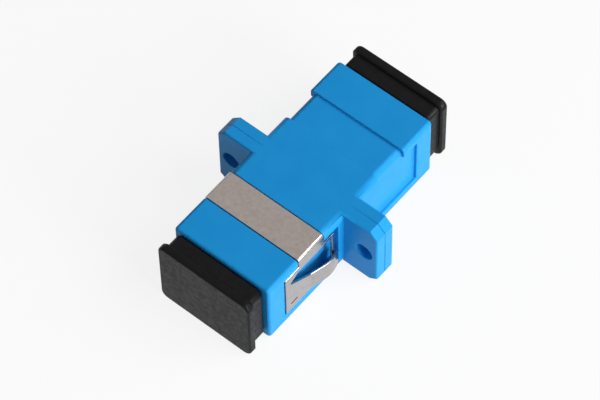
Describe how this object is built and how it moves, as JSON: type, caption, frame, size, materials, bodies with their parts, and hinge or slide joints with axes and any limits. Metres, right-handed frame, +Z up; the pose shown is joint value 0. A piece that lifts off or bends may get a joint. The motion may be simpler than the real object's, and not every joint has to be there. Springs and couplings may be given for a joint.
{
  "type": "sc fibre adapter",
  "caption": "Flanged clip-in coupler that joins two square fibre connectors in line, with a sprung panel clip, ceramic sleeve and pull-off dust caps.",
  "frame": {"origin": "centre of the alignment sleeve, on the plane where the two housing halves are welded", "axes": "+Y along the ports towards the end without the clip, +X along the flange, +Z up through the band of the spring clip"},
  "size_m": [0.022, 0.0336, 0.0098],
  "materials": {
    "housing": "satin",
    "latch_holder": "satin",
    "sleeve": "polished",
    "clip": "satin",
    "dust_cap": "matte"
  },
  "bodies": {
    "adapter": {"front_housing": "housing", "rear_housing": "housing", "front_latch_holder": "latch_holder", "rear_latch_holder": "latch_holder", "alignment_sleeve": "sleeve", "spring_clip": "clip"},
    "front_cap": {"front_dust_cap": "dust_cap"},
    "rear_cap": {"rear_dust_cap": "dust_cap"}
  },
  "joints": [
    {"name": "front_cap_pull", "type": "slide", "parent": "adapter", "child": "front_cap", "axis": [0, -1, 0], "range_m": [0, 0.04]},
    {"name": "rear_cap_pull", "type": "slide", "parent": "adapter", "child": "rear_cap", "axis": [0, 1, 0], "range_m": [0, 0.04]}
  ]
}
